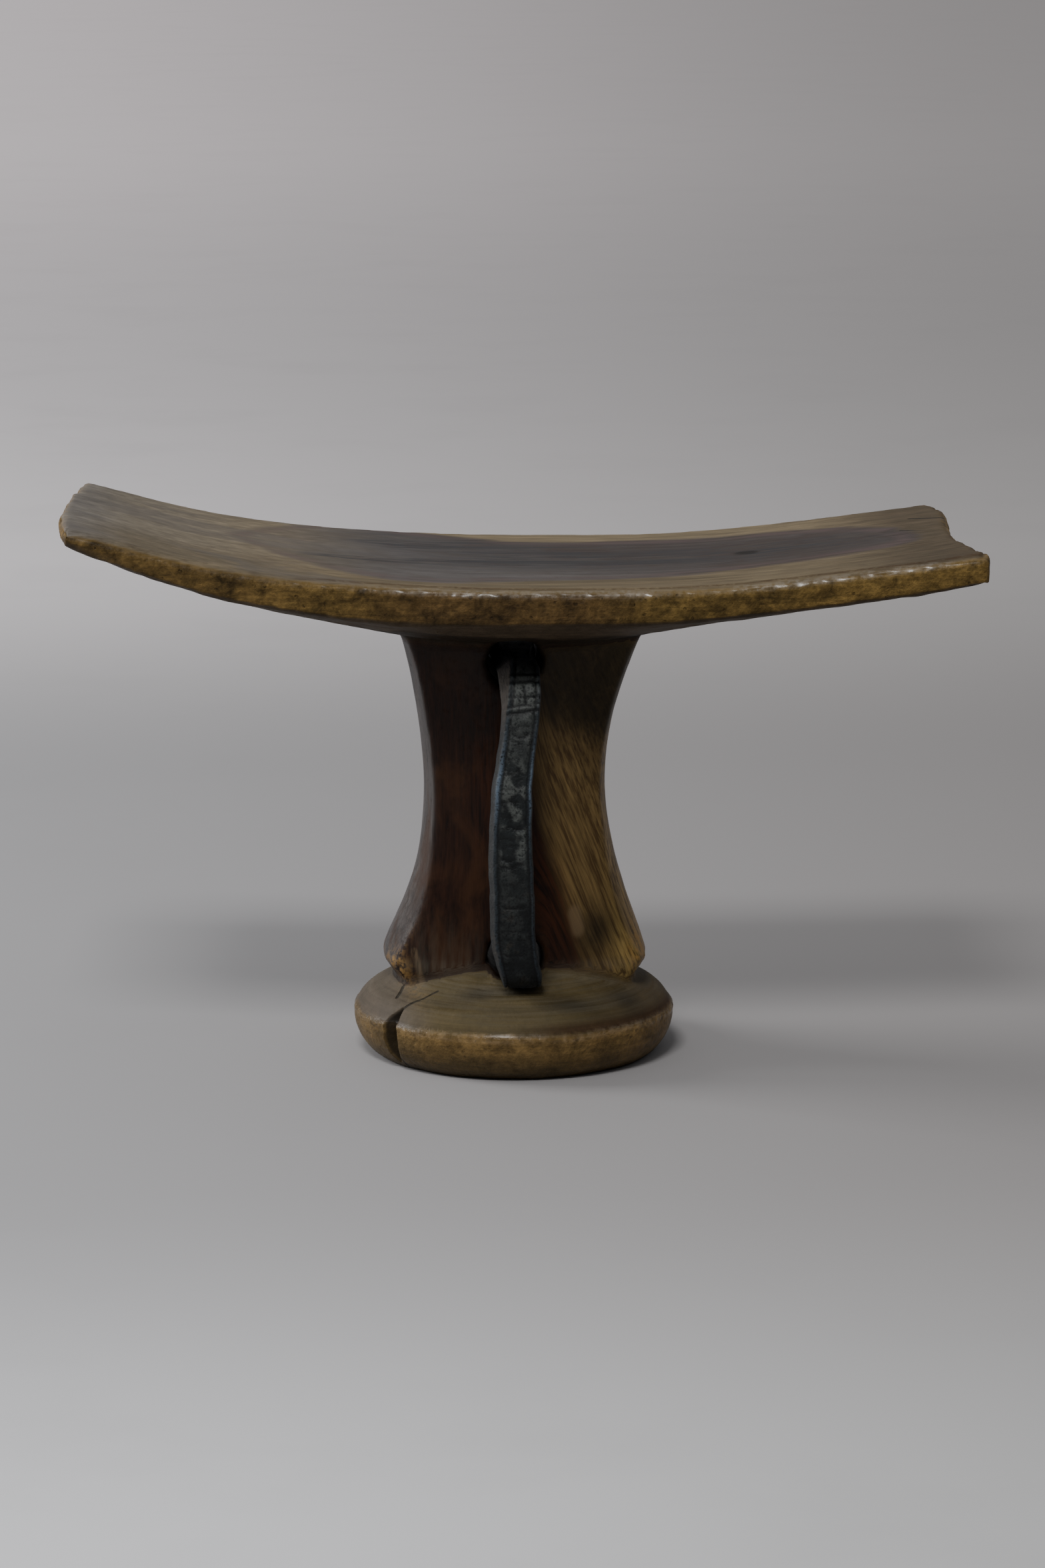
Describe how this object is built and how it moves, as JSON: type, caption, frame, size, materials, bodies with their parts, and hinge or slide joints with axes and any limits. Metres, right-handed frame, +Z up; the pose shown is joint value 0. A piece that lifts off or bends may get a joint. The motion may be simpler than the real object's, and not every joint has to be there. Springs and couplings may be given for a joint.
{
  "type": "headrest",
  "caption": "Carved wooden neck rest: dished rest on a waisted pillar and a round domed foot, with a leather carrying strap through the pillar.",
  "frame": {"origin": "centre of the foot's flat underside, on the surface the headrest stands on", "axes": "+X along the rest towards its lower, blunter wing; +Z up; the strap's handle faces -Y"},
  "size_m": [0.2613, 0.1095, 0.1629],
  "materials": {
    "wood": "old hand-polished hardwood, matte and dusty above, glossier on the pillar",
    "strap_leather": "worn black hide, cracked, with a soft sheen on its edges",
    "thong_leather": "thin dark hide thong, matte"
  },
  "bodies": {
    "headrest": {"carved_body": "wood", "strap_back": "strap_leather", "strap_lacing": "thong_leather"},
    "handle": {"strap_handle": "strap_leather"}
  },
  "joints": [
    {"name": "strap_swing", "type": "hinge", "parent": "headrest", "child": "handle", "pos_m": [-0.0009, -0.019, 0.075], "axis": [0, 0, 1], "range_deg": [-15, 15]}
  ]
}
